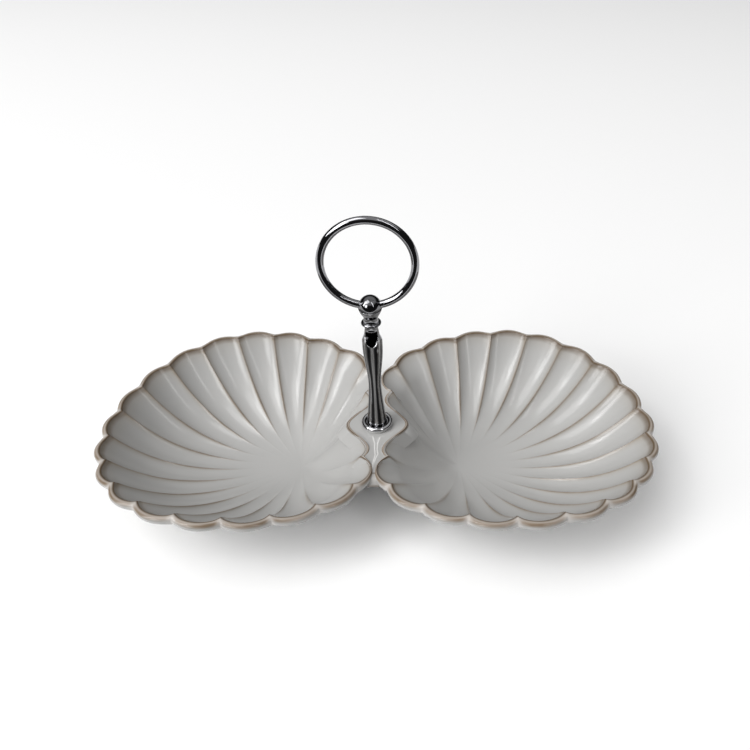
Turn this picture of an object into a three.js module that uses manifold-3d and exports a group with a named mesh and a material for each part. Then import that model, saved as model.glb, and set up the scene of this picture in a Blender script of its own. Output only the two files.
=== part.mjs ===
// Double shell serving dish with a ring handle, in millimetres, +Z up, front towards -Y
// The origin is on the table, under the middle of the handle
import * as THREE from 'three';
import { mergeVertices } from 'three/addons/utils/BufferGeometryUtils.js';
import Module from 'manifold-3d';

const wasm = await Module();
wasm.setup();

// Driving dimensions of the dish
const shell_radius = 70;        // middle of a shell to its rim cusps
const shoulder_rise = 6;        // how far the two shoulders beside the hinge stand out of the round
const shoulder_cusp_x = 9.8;    // handle axis to the cusp beside the hinge, across
const fan_reach = 34.5;         // from that cusp inwards to where the ribs meet, across
const rim_height = 38;          // table to the rim at the tip of a shell
const rim_lift = 6.9;           // how much higher the rim is at the front and back
const rim_sink = 1.5;           // how much the rim sinks where it meets the saddle
const bowl_floor = 6;           // table to the inside of a bowl
const wall = 3.6;               // thickness of the stoneware at the floor
const upper_wall = 2.3;         // thickness of the stoneware under the lip
const lobe_bulge = 4.2;         // how far a lobe bows out between its cusps
const lobe_rise = 0.8;          // how much the rim rises between its cusps
const rib_height = 1.5;         // rib above the flutes beside it
const node_rise = 0.5;          // knob where a rib crosses the lip
const lip_width = 3.3;          // lip, measured across at the middle of a lobe
const lip_cusp_width = 3.5;     // lip, measured across at a cusp
const lip_crest = 0.4;          // crest of the lip above its inner edge
const lip_depth = 3.4;          // height of the outer face of the lip
const wall_cusp_fill = 1.6;     // extra stoneware behind a rib

// The hinge side, where a shell meets the saddle
const hinge_cusp_x = 7.5;       // handle axis to the cusp nearest the plateau, across
const hinge_lip_share = 0.6;    // width of the lip there, as a share of the lip elsewhere
const plateau_corner_x = 16.4;  // handle axis to the corner of the plateau
const corner_round = 8;         // straight start of the edge beside that corner
const hinge_pull_x = -1.7;      // second pull of the plateau's edge, across
const hinge_lobe_bulge = 7;     // how far the lobe beside the saddle bows out
const hinge_lip_tuck = 1.2;     // how much narrower the lip is where the shells come nearest
const saddle_drop = 0.7;        // seat of the handle below the rim at the tips
const saddle_thickness = 7.5;   // stoneware under the handle
const saddle_half_length = 43;  // handle axis to the end of the saddle, front or back
const saddle_rise = 2.2;        // how much the saddle rises from its seat to its ends
const saddle_end_thickness = 6.5;
const plateau_half_length = 12; // flat part of the saddle, front or back of the axis
const screw_hole_radius = 4;

// Foot rings
const foot_radius = 27;
const foot_width = 4;
const foot_chamfer = 0.6;
const foot_offset_x = 64;       // handle axis to the middle of a foot ring

// Counts, angles and shares that shape a shell
const cusp_pairs = 9;
const lobe_pitch = THREE.MathUtils.degToRad(16.8);
const lobe_skew = THREE.MathUtils.degToRad(1.2);
const hinge_angle = THREE.MathUtils.degToRad(150);
const lobe_steps = 5;
const hinge_steps = 5;
const tip_power = 4.2;          // steepness of the wall at the tip
const side_power = 2.7;         // steepness of the wall at the front and back
const hinge_power = 1.7;        // steepness of the wall beside the saddle
const hinge_rib_power = 4;      // how soon the rib fades along the plateau's edge
const rib_bow_share = 0.35;     // how far a rib leaves the rim square to it before it turns
const rib_start_share = 0.3;    // where a rib begins to stand up, from the middle outwards
const rib_full_share = 0.7;     // where it has its full height
const node_start_share = 0.8;   // where it begins to turn into the knob on the lip
const thin_start_share = 0.3;   // where the wall begins to thin
const thin_end_share = 0.9;     // where it has its upper thickness
const shoulder_start_share = 0.63;
const swell_skew_share = 0.3;   // how far the highest rim lies towards the tip
const plateau_pull_share = 0.58;
const hinge_cusp_y_share = 0.565;
const lip_foot_share = 0.78;    // foot of the lip, as a share of its width
const lip_side_share = 0.55;    // widest place of the lip, as a share of its depth
const lip_round_share = 0.86;   // where the lip's top turns down
const lip_crest_share = 0.4;    // where the lip is highest
const inner_shares = [1, 0.93, 0.85, 0.74, 0.6, 0.44, 0.24];
const outer_shares = [0.34, 0.6, 0.8, 0.93];
const mid_shares = [0.3, 0.5, 0.66, 0.8, 0.9, 1];

// Soft washers, steel washer and screw
const washer_thickness = 0.6;   // soft washer on the glaze
const under_thickness = 1.5;    // soft washer under the saddle
const steel_thickness = 1;
const washer_radius = 7.4;
const steel_radius = 7.5;
const screw_radius = 2.5;
const screw_length = 20;
const screw_tip_chamfer = 0.5;
const head_radius = 4.6;
const head_height = 3.1;
const head_round = 1.3;
const slot_width = 1.1;         // one arm of the cross recess
const slot_length = 4.6;
const slot_depth = 1.9;
const screw_clearance = 0.3;    // round the screw in washers and collar
const thread_clearance = 0.08;  // round the screw in the post
const seat_gap = 0.05;          // between faces that are clamped together

// Base collar
const collar_radius = 8.25;
const collar_height = 2.5;
const collar_plate = 1;         // dished plate under the post

// Post
const foot_flare_radius = 5.45;
const foot_length = 25.45;      // foot to the narrowest place
const waist_radius = 3.2;
const swell_length = 23.5;      // narrowest place to the shoulder
const shoulder_radius = 4.95;
const shoulder_length = 2.5;    // part that has its full width
const neck_radius = 3.4;
const neck_length = 7.7;        // shoulder to the top of the post
const flare_power = 1.4;        // steepness of the flare down to the foot
const flute_depth = 0.5;
const flute_count = 8;
const flute_foot_share = 0.3;   // depth of a flute left at the foot and at the top
const flute_run_in = 5.45;      // height in which a flute deepens above the foot
const bore_spare = 2;           // room past the end of the screw

// Finial, ball and ring
const spigot_radius = 1.7;
const spigot_length = 8;
const bead_radius = 4.85;
const bead_height = 2.5;
const bead_neck = 2.7;          // straight neck under the bead
const bead_neck_radius = 3.35;
const cup_neck_radius = 3.4;
const cup_radius = 5.62;
const cup_height = 6.95;        // bead to the cup's edge
const cup_edge = 0.2;           // thickness of the cup's edge
const cup_flare_share = 0.15;   // straight start of the cup's neck, as a share of its height
const ball_radius = 5.4;
const ball_rise = 0.95;         // middle of the ball above the cup's edge
const ball_clearance = 0.1;     // between the ball and the cup
const shank_radius = 1.5;
const shank_length = 6.5;       // from the ball's middle down to the end of its shank
const ring_radius = 21.3;       // to the middle of the wire
const wire_radius = 1.87;
const wire_clearance = 0.08;    // round the wire in the ball
const wire_rise = 0.3;          // middle of the wire above the ball's middle

const facets = 24;
const flute_facets = 4;
const flare_steps = 7;
const swell_steps = 6;
const neck_steps = 8;
const bead_steps = 7;
const cup_steps = 7;
const hollow_steps = 8;
const ball_steps = 12;
const small_facets = 20;
const wire_facets = 10;
const ring_facets = 52;
const roll_steps = 6;           // facets of half the collar's roll
const saddle_steps = 6;
const overrun = 3;              // how far a cut runs past what it cuts
const weld_distance = 1e-4;     // corners nearer than this are one

// Places that follow from the sizes above
const shoulder_angle = (cusp_pairs - 1 / 2) * lobe_pitch;
const shell_x = shoulder_cusp_x - (shell_radius + shoulder_rise) * Math.cos(shoulder_angle);
const fan_x = shoulder_cusp_x + fan_reach;
const underside = bowl_floor - wall;
const space_top = 2 * rim_height;
const saddle_top = rim_height - saddle_drop;
const saddle_bottom = saddle_top - saddle_thickness;
const washer_base = saddle_top + seat_gap;
const collar_base = washer_base + washer_thickness + seat_gap;
const post_base = collar_base + collar_plate + seat_gap;
const waist_height = post_base + foot_length;
const shoulder_height = waist_height + swell_length;
const neck_start = shoulder_height + shoulder_length;
const post_top = neck_start + neck_length;
const under_base = saddle_bottom - under_thickness - seat_gap;
const steel_base = under_base - steel_thickness - seat_gap;
const screw_seat = steel_base - seat_gap;
const screw_tip = screw_seat + screw_length;
const hole_radius = screw_radius + screw_clearance;
const bead_base = post_top + seat_gap + bead_neck;
const bead_top = bead_base + bead_height;
const cup_top = bead_top + cup_height;
const ball_z = cup_top + ball_rise;
const ring_z = ball_z + wire_rise + ring_radius;

function blend(a, b, share) {
  return THREE.MathUtils.lerp(a, b, share);
}

function smooth(from, to, value) {
  return THREE.MathUtils.smoothstep(value, from, to);
}

function mix(a, b, share) {
  return a.clone().lerp(b, share);
}

// A closed geometry as a solid for cuts and joins
function solid(geometry) {
  const plain = geometry.index ? geometry.toNonIndexed() : geometry.clone();
  plain.deleteAttribute('normal');
  plain.deleteAttribute('uv');
  const merged = mergeVertices(plain, weld_distance);
  const vertProperties = new Float32Array(merged.attributes.position.array);
  const triVerts = new Uint32Array(merged.index.array);
  return new wasm.Manifold(new wasm.Mesh({ numProp: 3, vertProperties, triVerts }));
}

function geometryOf(body) {
  const mesh = body.getMesh();
  const geometry = new THREE.BufferGeometry();
  geometry.setAttribute('position', new THREE.BufferAttribute(mesh.vertProperties.slice(), 3));
  geometry.setIndex(new THREE.BufferAttribute(mesh.triVerts.slice(), 1));
  return geometry;
}

// A turned solid about Z from [radius, height] points that run up its outside
function turned(points, count = facets) {
  const profile = points.map(([radius, height]) => new THREE.Vector2(radius, height));
  const geometry = new THREE.LatheGeometry(profile, count);
  return geometry.rotateX(Math.PI / 2);
}

// A closed skin from the point under a body, up its outside through rings, to the point above
function skin(first, rings, last) {
  const count = rings[0].length;
  const points = [first, ...rings.flat(), last];
  const end = points.length - 1;
  const index = [];
  for (let i = 0; i < count; i += 1) {
    const next = (i + 1) % count;
    index.push(0, 1 + next, 1 + i);
    index.push(end, end - count + i, end - count + next);
    for (let ring = 0; ring + 1 < rings.length; ring += 1) {
      const low = 1 + ring * count;
      const high = low + count;
      index.push(low + i, high + next, high + i);
      index.push(low + i, low + next, high + next);
    }
  }
  const geometry = new THREE.BufferGeometry().setFromPoints(points);
  geometry.setIndex(index);
  return geometry;
}

// Corner points of a shell's rim: the outer cusps, then the one beside the plateau
function cuspRadius(angle) {
  const turn = Math.abs(angle) / shoulder_angle;
  return shell_radius + shoulder_rise * smooth(shoulder_start_share, 1, turn);
}

function cusp(angle) {
  const radius = cuspRadius(angle);
  const out = new THREE.Vector2(Math.cos(angle), Math.sin(angle));
  return { at: new THREE.Vector2(shell_x, 0).addScaledVector(out, radius), out, width: 1 };
}

const shoulder_y = (shell_radius + shoulder_rise) * Math.sin(shoulder_angle);

function hingeCusp(side) {
  const at = new THREE.Vector2(hinge_cusp_x, side * hinge_cusp_y_share * shoulder_y);
  return { at, out: new THREE.Vector2(-1, 0), width: hinge_lip_share };
}

// A point of the lobe between two cusps, with both cusps moved out and the bow given
function lobePoint(a, b, share, shift, bulge) {
  const from = a.at.clone().addScaledVector(a.out, shift * a.width);
  const to = b.at.clone().addScaledVector(b.out, shift * b.width);
  const chord = to.clone().sub(from);
  const half = chord.length() / 2;
  const bow = bulge(mix(new THREE.Vector2(a.width), new THREE.Vector2(b.width), share).x);
  const radius = (half * half + bow * bow) / (2 * bow);
  const turn = Math.asin(Math.min(1, half / radius)) * (2 * share - 1);
  const along = (radius * Math.sin(turn)) / half / 2 + 1 / 2;
  const rise = radius * Math.cos(turn) - (radius - bow);
  const normal = new THREE.Vector2(chord.y, -chord.x).normalize();
  return mix(from, to, along).addScaledVector(normal, rise);
}

// The edge of the plateau, from the cusp beside it to its corner
function plateauEdge(side, share, shift) {
  const start = hingeCusp(side).at.x;
  const xs = [start, hinge_pull_x, plateau_corner_x, plateau_corner_x];
  const cusp_y = hinge_cusp_y_share * shoulder_y;
  const ys = [cusp_y, cusp_y * plateau_pull_share, corner_round, 0];
  const u = 1 - share;
  const weights = [u ** 3, 3 * u * u * share, 3 * u * share * share, share ** 3];
  const x = weights.reduce((sum, weight, i) => sum + weight * xs[i], 0);
  const y = weights.reduce((sum, weight, i) => sum + weight * ys[i], 0);
  return new THREE.Vector2(x - shift * hinge_lip_share, side * y);
}

// All places round a shell's rim, each with its inner edge, lip edge and wall edge
function rimPlaces() {
  const cusps = [hingeCusp(-1)];
  for (let i = 0; i < 2 * cusp_pairs; i += 1) {
    const turn = (i + 1 / 2 - cusp_pairs) * lobe_pitch;
    cusps.push(cusp(turn - lobe_skew * Math.sin((2 * Math.PI * turn) / shoulder_angle)));
  }
  cusps.push(hingeCusp(1));
  const places = [];
  const place = (inner, lip, back, rib) => places.push({ inner, lip, back, rib });
  for (let i = 0; i + 1 < cusps.length; i += 1) {
    for (let step = 0; step < lobe_steps; step += 1) {
      const share = step / lobe_steps;
      const at = (shift, bow) => lobePoint(cusps[i], cusps[i + 1], share, shift, bow);
      const rib = (2 * share - 1) ** 2;
      const bulge = i === 0 || i + 2 === cusps.length ? hinge_lobe_bulge : lobe_bulge;
      const tuck = bulge === lobe_bulge ? 0 : hinge_lip_tuck;
      const lip_bow = (width) => bulge + (lip_width - lip_cusp_width) * width - tuck;
      const back_bow = (width) => bulge - wall_cusp_fill * width;
      place(at(0, () => bulge), at(lip_cusp_width, lip_bow), at(wall_cusp_fill, back_bow), rib);
    }
  }
  for (const side of [1, -1]) {
    for (let step = 0; step < hinge_steps; step += 1) {
      const share = side > 0 ? step / hinge_steps : 1 - step / hinge_steps;
      const rib = (1 - share) ** hinge_rib_power;
      const lip = blend(lip_width, lip_cusp_width, rib);
      const at = (shift) => plateauEdge(side, share, shift);
      place(at(0), at(lip), at(wall_cusp_fill * rib), rib);
    }
  }
  return places.map((spot) => {
    const angle = Math.abs(Math.atan2(spot.inner.y, spot.inner.x - shell_x));
    const swell = Math.sin(angle) ** 2 * (1 + swell_skew_share * Math.cos(angle));
    const hinge = smooth(shoulder_angle, Math.PI, angle);
    const rim = rim_height + rim_lift * swell - rim_sink * hinge + lobe_rise * (1 - spot.rib);
    const side = blend(tip_power, side_power, smooth(0, Math.PI / 2, angle));
    const power = blend(side, hinge_power, smooth(Math.PI / 2, hinge_angle, angle));
    return { ...spot, rim, power, reach: spot.inner.clone().sub(fan).length() };
  });
}

const fan = new THREE.Vector2(fan_x, 0);
const middle = new THREE.Vector2(shell_x, 0);
const places = rimPlaces();

// The wall's surface at a share of the way out to the rim, sunk by a share of its thickness
function wallPoint(spot, share, sunk, edge) {
  const depth = sunk * blend(wall, upper_wall, smooth(thin_start_share, thin_end_share, share));
  const rise = spot.rim - bowl_floor;
  const slope = Math.atan((spot.power * rise * share ** (spot.power - 1)) / spot.reach);
  const half = edge.distanceTo(fan) / 2;
  const square = edge.clone().addScaledVector(middle.clone().sub(edge).normalize(), half);
  const pull = mix(mix(edge, fan, 1 / 2), square, rib_bow_share);
  const path = new THREE.QuadraticBezierCurve(fan, pull, edge);
  const spread = path.getPoint(share).addScaledVector(path.getTangent(share), depth * Math.sin(slope));
  const height = bowl_floor + rise * share ** spot.power - depth * Math.cos(slope);
  return new THREE.Vector3(spread.x, spread.y, height);
}

function innerPoint(spot, share) {
  const point = wallPoint(spot, share, 0, spot.inner);
  const node = smooth(node_start_share, 1, share);
  const lift = rib_height * (spot.rib - 1 / 3) * smooth(rib_start_share, rib_full_share, share);
  point.z += blend(lift, node_rise * spot.rib, node);
  return point;
}

// The lip, from its inner edge over the crest to the foot of its rolled face
function lipPoint(spot, share, drop) {
  const spread = mix(spot.inner, spot.lip, share);
  const height = spot.rim + node_rise * spot.rib * (1 - share) - drop;
  return new THREE.Vector3(spread.x, spread.y, height);
}

// One bowl as a closed body: underside, outside, lip and inside
function bowlGeometry() {
  const rings = outer_shares.map((share) => places.map((spot) => wallPoint(spot, share, 1, spot.back)));
  const lip_rings = [
    [lip_foot_share, lip_depth],
    [1, lip_depth * lip_side_share],
    [lip_round_share, lip_crest],
    [lip_crest_share, -lip_crest],
  ];
  for (const [share, drop] of lip_rings) {
    rings.push(places.map((spot) => lipPoint(spot, share, drop)));
  }
  for (const share of inner_shares) {
    rings.push(places.map((spot) => innerPoint(spot, share)));
  }
  const outside = new THREE.Vector3(fan_x, 0, underside);
  const inside = new THREE.Vector3(fan_x, 0, bowl_floor);
  return skin(outside, rings, inside);
}

// The space of one bowl out to the middle of its wall, open far above the rim
function spaceGeometry() {
  const rings = mid_shares.map((share) => places.map((spot) => wallPoint(spot, share, 0.5, spot.inner)));
  const high = rings[rings.length - 1].map((point) => new THREE.Vector3(point.x, point.y, space_top));
  rings.push(high);
  const low = new THREE.Vector3(fan_x, 0, bowl_floor - wall / 2);
  return skin(low, rings, new THREE.Vector3(fan_x, 0, space_top));
}

// A foot ring before the bowl's space is cut from it
function footGeometry() {
  const inner = foot_radius - foot_width;
  return turned([
    [inner, rim_height],
    [inner, foot_chamfer],
    [inner + foot_chamfer, 0],
    [foot_radius - foot_chamfer, 0],
    [foot_radius, foot_chamfer],
    [foot_radius, rim_height],
    [inner, rim_height],
  ]).translate(foot_offset_x, 0, 0);
}

// The saddle before the bowls' spaces are cut from it: flat seat, rising ends, arched below
function saddleGeometry() {
  const shape = new THREE.Shape();
  const end_high = saddle_top + saddle_rise;
  const end_low = end_high - saddle_end_thickness;
  const pull = (saddle_half_length + plateau_half_length) / 2;
  shape.moveTo(-saddle_half_length, end_low);
  shape.quadraticCurveTo(-pull, saddle_bottom, -plateau_half_length, saddle_bottom);
  shape.lineTo(plateau_half_length, saddle_bottom);
  shape.quadraticCurveTo(pull, saddle_bottom, saddle_half_length, end_low);
  shape.lineTo(saddle_half_length, end_high);
  shape.bezierCurveTo(pull, end_high, pull, saddle_top, plateau_half_length, saddle_top);
  shape.lineTo(-plateau_half_length, saddle_top);
  shape.bezierCurveTo(-pull, saddle_top, -pull, end_high, -saddle_half_length, end_high);
  const width = 2 * plateau_corner_x;
  const options = { depth: width, bevelEnabled: false, curveSegments: saddle_steps };
  const block = new THREE.ExtrudeGeometry(shape, options);
  return block.translate(0, 0, -plateau_corner_x).rotateX(Math.PI / 2).rotateZ(Math.PI / 2);
}

function dishGeometry() {
  const space = solid(spaceGeometry());
  const foot = solid(footGeometry()).subtract(space);
  const bowl = solid(bowlGeometry()).add(foot);
  const saddle = solid(saddleGeometry()).subtract(space).subtract(space.mirror([1, 0, 0]));
  const length = saddle_thickness + 2 * overrun;
  const hole = new THREE.CylinderGeometry(screw_hole_radius, screw_hole_radius, length, facets);
  hole.rotateX(Math.PI / 2).translate(0, 0, saddle_top - saddle_thickness / 2);
  return geometryOf(bowl.add(bowl.mirror([1, 0, 0])).add(saddle).subtract(solid(hole)));
}

// A flat washer about the handle axis
function washerGeometry(base, thickness, outer) {
  return turned([
    [hole_radius, base + thickness],
    [hole_radius, base],
    [outer, base],
    [outer, base + thickness],
    [hole_radius, base + thickness],
  ]);
}

// Rolled collar with a dished plate inside
function collarGeometry() {
  const bead = collar_height / 2;
  const roll = collar_radius - bead;
  const plate_top = collar_base + collar_plate;
  const points = [[hole_radius, plate_top], [hole_radius, collar_base], [roll, collar_base]];
  for (let step = 1 - roll_steps / 2; step <= roll_steps; step += 1) {
    const turn = (Math.PI * step) / roll_steps;
    points.push([roll + bead * Math.cos(turn), collar_base + bead * (1 + Math.sin(turn))]);
  }
  points.push([roll - bead, plate_top]);
  points.push([hole_radius, plate_top]);
  return turned(points);
}

// Radius of the post at a height, without its flutes
function postRadius(height) {
  if (height < waist_height) {
    const share = (waist_height - height) / (waist_height - post_base);
    return blend(waist_radius, foot_flare_radius, share ** flare_power);
  }
  if (height < shoulder_height) {
    return blend(waist_radius, shoulder_radius, smooth(waist_height, shoulder_height, height));
  }
  return blend(shoulder_radius, neck_radius, smooth(neck_start, post_top, height));
}

function postGeometry() {
  const count = flute_count * flute_facets;
  const stations = [];
  const spans = [
    [post_base, waist_height, flare_steps],
    [waist_height, shoulder_height, swell_steps],
    [shoulder_height, post_top, neck_steps],
  ];
  for (const [low, high, steps] of spans) {
    for (let step = 0; step < steps; step += 1) {
      stations.push(blend(low, high, step / steps));
    }
  }
  stations.push(post_top);
  const rings = stations.map((height) => {
    const ring = [];
    const fade = smooth(post_base, post_base + flute_run_in, height)
      * (1 - smooth(shoulder_height, post_top, height));
    for (let i = 0; i < count; i += 1) {
      const angle = (i / count) * 2 * Math.PI - Math.PI / 2;
      const groove = Math.sin((flute_count * (angle + Math.PI / 2)) / 2) ** 2;
      const radius = postRadius(height) - flute_depth * blend(flute_foot_share, 1, fade) * groove;
      ring.push(new THREE.Vector3(radius * Math.cos(angle), radius * Math.sin(angle), height));
    }
    return ring;
  });
  const body = skin(new THREE.Vector3(0, 0, post_base), rings, new THREE.Vector3(0, 0, post_top));
  let post = solid(body);
  const screw_bore = screw_radius + thread_clearance;
  const low_end = screw_tip + bore_spare;
  post = post.subtract(solid(turned([
    [0, post_base - overrun],
    [screw_bore, post_base - overrun],
    [screw_bore, low_end],
    [0, low_end + screw_radius / 2],
  ], small_facets)));
  const spigot_bore = spigot_radius + thread_clearance;
  const high_end = post_top - spigot_length - seat_gap;
  post = post.subtract(solid(turned([
    [0, high_end - spigot_radius / 2],
    [spigot_bore, high_end],
    [spigot_bore, post_top + overrun],
    [0, post_top + overrun],
  ], small_facets)));
  return geometryOf(post);
}

function finialGeometry() {
  const points = [
    [0, post_top - spigot_length],
    [spigot_radius, post_top - spigot_length],
    [spigot_radius, post_top + seat_gap],
    [bead_neck_radius, post_top + seat_gap],
    [bead_neck_radius, bead_base],
  ];
  const bead_turn = Math.acos(bead_neck_radius / bead_radius);
  for (let step = 1; step < bead_steps; step += 1) {
    const turn = bead_turn * ((2 * step) / bead_steps - 1);
    const rise = (1 + Math.sin(turn) / Math.sin(bead_turn)) / 2;
    points.push([bead_radius * Math.cos(turn), bead_base + bead_height * rise]);
  }
  for (let step = 0; step <= cup_steps; step += 1) {
    const share = step / cup_steps;
    const radius = blend(cup_neck_radius, cup_radius, smooth(cup_flare_share, 1, share));
    points.push([radius, bead_top + cup_height * share]);
  }
  const bore = shank_radius + wire_clearance;
  const hollow = ball_radius + ball_clearance;
  for (let step = 0; step <= hollow_steps; step += 1) {
    const radius = blend(cup_radius - cup_edge, bore, step / hollow_steps);
    const floor = ball_z - ball_clearance - Math.sqrt(hollow ** 2 - radius ** 2);
    points.push([radius, step === 0 ? cup_top : floor]);
  }
  points.push([bore, ball_z - shank_length - ball_clearance]);
  points.push([0, ball_z - shank_length - ball_clearance]);
  return turned(points);
}

// The wire's path, a full circle that stands upright
function wireGeometry(radius) {
  return new THREE.TorusGeometry(ring_radius, radius, wire_facets, ring_facets).rotateX(Math.PI / 2);
}

function ballGeometry() {
  const points = [[0, -shank_length], [shank_radius, -shank_length]];
  const start = Math.asin(shank_radius / ball_radius) - Math.PI / 2;
  for (let step = 0; step <= ball_steps; step += 1) {
    const turn = blend(start, Math.PI / 2, step / ball_steps);
    points.push([step === ball_steps ? 0 : ball_radius * Math.cos(turn), ball_radius * Math.sin(turn)]);
  }
  const ball = solid(turned(points));
  const path = wireGeometry(wire_radius + wire_clearance).translate(0, 0, wire_rise + ring_radius);
  return geometryOf(ball.subtract(solid(path)));
}

// Pan head with a cross recess, shank up
function screwGeometry() {
  const low = screw_seat - head_height;
  const body = solid(turned([
    [0, low],
    [head_radius - head_round, low],
    [head_radius - head_round / 3, low + head_round / 3],
    [head_radius, low + head_round],
    [head_radius, screw_seat],
    [screw_radius, screw_seat],
    [screw_radius, screw_tip - screw_tip_chamfer],
    [screw_radius - screw_tip_chamfer, screw_tip],
    [0, screw_tip],
  ], small_facets));
  const arm = new THREE.BoxGeometry(slot_length, slot_width, 2 * slot_depth).translate(0, 0, low);
  const cross = solid(arm).add(solid(arm.clone().rotateZ(Math.PI / 2)));
  return geometryOf(body.subtract(cross));
}

const group = new THREE.Group();

function piece(name, geometry, colour, roughness, metalness) {
  const material = new THREE.MeshStandardMaterial({ color: colour, roughness, metalness });
  const mesh = new THREE.Mesh(geometry, material);
  mesh.name = name;
  group.add(mesh);
  return mesh;
}

piece('dish', dishGeometry(), 0xc9c7c2, 0.15, 0);
piece('seat_washer', washerGeometry(washer_base, washer_thickness, washer_radius), 0xd8d8d4, 0.5, 0);
piece('base_collar', collarGeometry(), 0x55565a, 0.12, 1);
piece('handle_post', postGeometry(), 0x55565a, 0.2, 1);
piece('finial', finialGeometry(), 0x55565a, 0.12, 1);
piece('ring_ball', ballGeometry(), 0x55565a, 0.1, 1).position.set(0, 0, ball_z);
piece('carry_ring', wireGeometry(wire_radius), 0x55565a, 0.12, 1).position.set(0, 0, ring_z);
piece('under_washer', washerGeometry(under_base, under_thickness, washer_radius), 0x2b2b2d, 0.8, 0);
piece('steel_washer', washerGeometry(steel_base, steel_thickness, steel_radius), 0xa9abad, 0.35, 1);
piece('clamp_screw', screwGeometry(), 0xa9abad, 0.3, 1);

export default group;
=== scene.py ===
"""Looks of a double shell serving dish with a ring handle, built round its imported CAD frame."""

import math

import bpy
import numpy as np
from mathutils import Matrix, Vector


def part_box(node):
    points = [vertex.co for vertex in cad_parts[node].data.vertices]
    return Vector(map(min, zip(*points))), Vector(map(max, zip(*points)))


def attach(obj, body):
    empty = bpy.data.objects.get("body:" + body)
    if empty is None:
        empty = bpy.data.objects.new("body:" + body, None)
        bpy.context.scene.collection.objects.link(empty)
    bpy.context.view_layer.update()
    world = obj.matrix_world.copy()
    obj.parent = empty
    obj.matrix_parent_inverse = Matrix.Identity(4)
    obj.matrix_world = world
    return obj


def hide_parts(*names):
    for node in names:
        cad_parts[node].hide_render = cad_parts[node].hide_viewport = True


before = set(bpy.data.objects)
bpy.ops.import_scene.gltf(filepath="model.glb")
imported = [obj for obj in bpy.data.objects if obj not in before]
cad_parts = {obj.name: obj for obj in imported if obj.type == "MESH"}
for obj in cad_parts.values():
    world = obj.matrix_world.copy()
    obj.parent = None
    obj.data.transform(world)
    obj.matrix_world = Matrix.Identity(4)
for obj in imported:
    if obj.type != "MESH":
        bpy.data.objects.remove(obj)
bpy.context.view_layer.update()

MM = 0.001

# Shell, in millimetres, as in the CAD: the right bowl, which the left one mirrors

SHELL_RADIUS = 70  # to the cusps of the rim
SHOULDER_RISE = 6  # how much further out the last cusp before the hinge lies
SHOULDER_START = 0.63  # share of the way round where that begins
SHOULDER_CUSP_X = 9.8
CUSP_PAIRS = 9
LOBE_PITCH = math.radians(16.8)
LOBE_SKEW = math.radians(1.2)
LOBE_BULGE = 4.2
LOBE_RISE = 0.8
FAN_REACH = 34.5  # how far past the last cusp, in x, the point lies that all ribs run to
RIM_HEIGHT = 38
RIM_LIFT = 6.9  # at the front and back
RIM_LEAN = 0.3  # more of that towards the tip
RIM_SINK = 1.5  # at the hinge
BOWL_FLOOR = 6
WALL = 3.6
UPPER_WALL = 2.3
WALL_THINS = (0.3, 0.9)  # shares of the way up
RIB_HEIGHT = 1.5
RIB_BOW = 0.35
NODE_RISE = 0.5  # of the rim at a cusp
LIP_WIDTH = 3.3
LIP_CUSP_WIDTH = 3.5
WALL_CUSP_FILL = 1.6
TIP_POWER = 4.2  # steepness of the wall at the tip, the sides and the hinge
SIDE_POWER = 2.7
HINGE_POWER = 1.7
HINGE_ANGLE = math.radians(150)
HINGE_CUSP_X = 7.5
HINGE_CUSP_Y_SHARE = 0.565
HINGE_LIP_SHARE = 0.6
HINGE_LIP_TUCK = 1.2
HINGE_LOBE_BULGE = 7
HINGE_PULL_X = -1.7
HINGE_PULL_Y_SHARE = 0.58
PLATEAU_CORNER_X = 16.4
CORNER_ROUND = 8
PLATEAU_HALF_LENGTH = 12
SADDLE_TOP = 37.3
SADDLE_THICKNESS = 7.5
SADDLE_HALF_LENGTH = 43
SADDLE_RISE = 2.2
SADDLE_END_THICKNESS = 6.5
SCREW_HOLE_RADIUS = 4
FOOT_RADIUS = 27
FOOT_WIDTH = 4
FOOT_OFFSET_X = 64

SHOULDER_ANGLE = (CUSP_PAIRS - 0.5) * LOBE_PITCH
SHELL_X = SHOULDER_CUSP_X - (SHELL_RADIUS + SHOULDER_RISE) * math.cos(SHOULDER_ANGLE)
FAN = np.array([SHOULDER_CUSP_X + FAN_REACH, 0.0])
MIDDLE = np.array([SHELL_X, 0.0])
SHOULDER_Y = (SHELL_RADIUS + SHOULDER_RISE) * math.sin(SHOULDER_ANGLE)
HINGE_CUSP_Y = HINGE_CUSP_Y_SHARE * SHOULDER_Y

# Finer forms of the glaze, in millimetres, and the meshes' steps

LOBE_STEPS = 22
HINGE_STEPS = 36
LOBE_STEP_MIX = (0.45, 0.55)  # shares of even steps, and of steps that crowd towards the cusps
HINGE_EDGE_LENGTH = 28
HINGE_SIDE = (math.radians(118), math.radians(140))  # where the hinge side's smoother wall begins
HINGE_BLUR = 12
RIB_LINE = 0.9  # half width of the brown line along a rib, and of its crest
RIB_STAIN = 0.85  # strength of that line
CREST_RISE = 0.28
HALO_WIDTH = 1.9
NODE_SWELL = 0.35  # of the lip at a cusp
INNER_NODE_SWELL = 0.3
PLATEAU_FADE = 0.6  # how much less of both the plateau has
LIP_DEPTH = 3.6  # over which the swelling fades
INSIDE_LENGTH = 40  # about, from the rim down to the point that the ribs run to
UNDER_TINT = 0.3  # how brown the outside gets below the lip
UNDER_TINTED = (0.8, 0.93)  # shares of the way up between which it does
BAND_STRENGTH = 0.62  # of the dark bands on the lip, round which two waves swing
BAND_SWING = 0.38
BAND_WAVES = ((11.3, 0.6), (4.7, 1.9))  # their rates round the rim, and their starts
BAND_NODE_FADE = 0.8  # how far the bands fade at a cusp
LIP_LINE = 0.12  # share of the way out at which the dark line on the lip lies
LIP_LINE_WIDTH = 0.2
BELOW_LIP_LINE = 0.5  # width of the dark line inside, where the wall meets the lip
BELOW_LIP_TINT = 0.7  # strength and reach of the brown below that line
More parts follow.
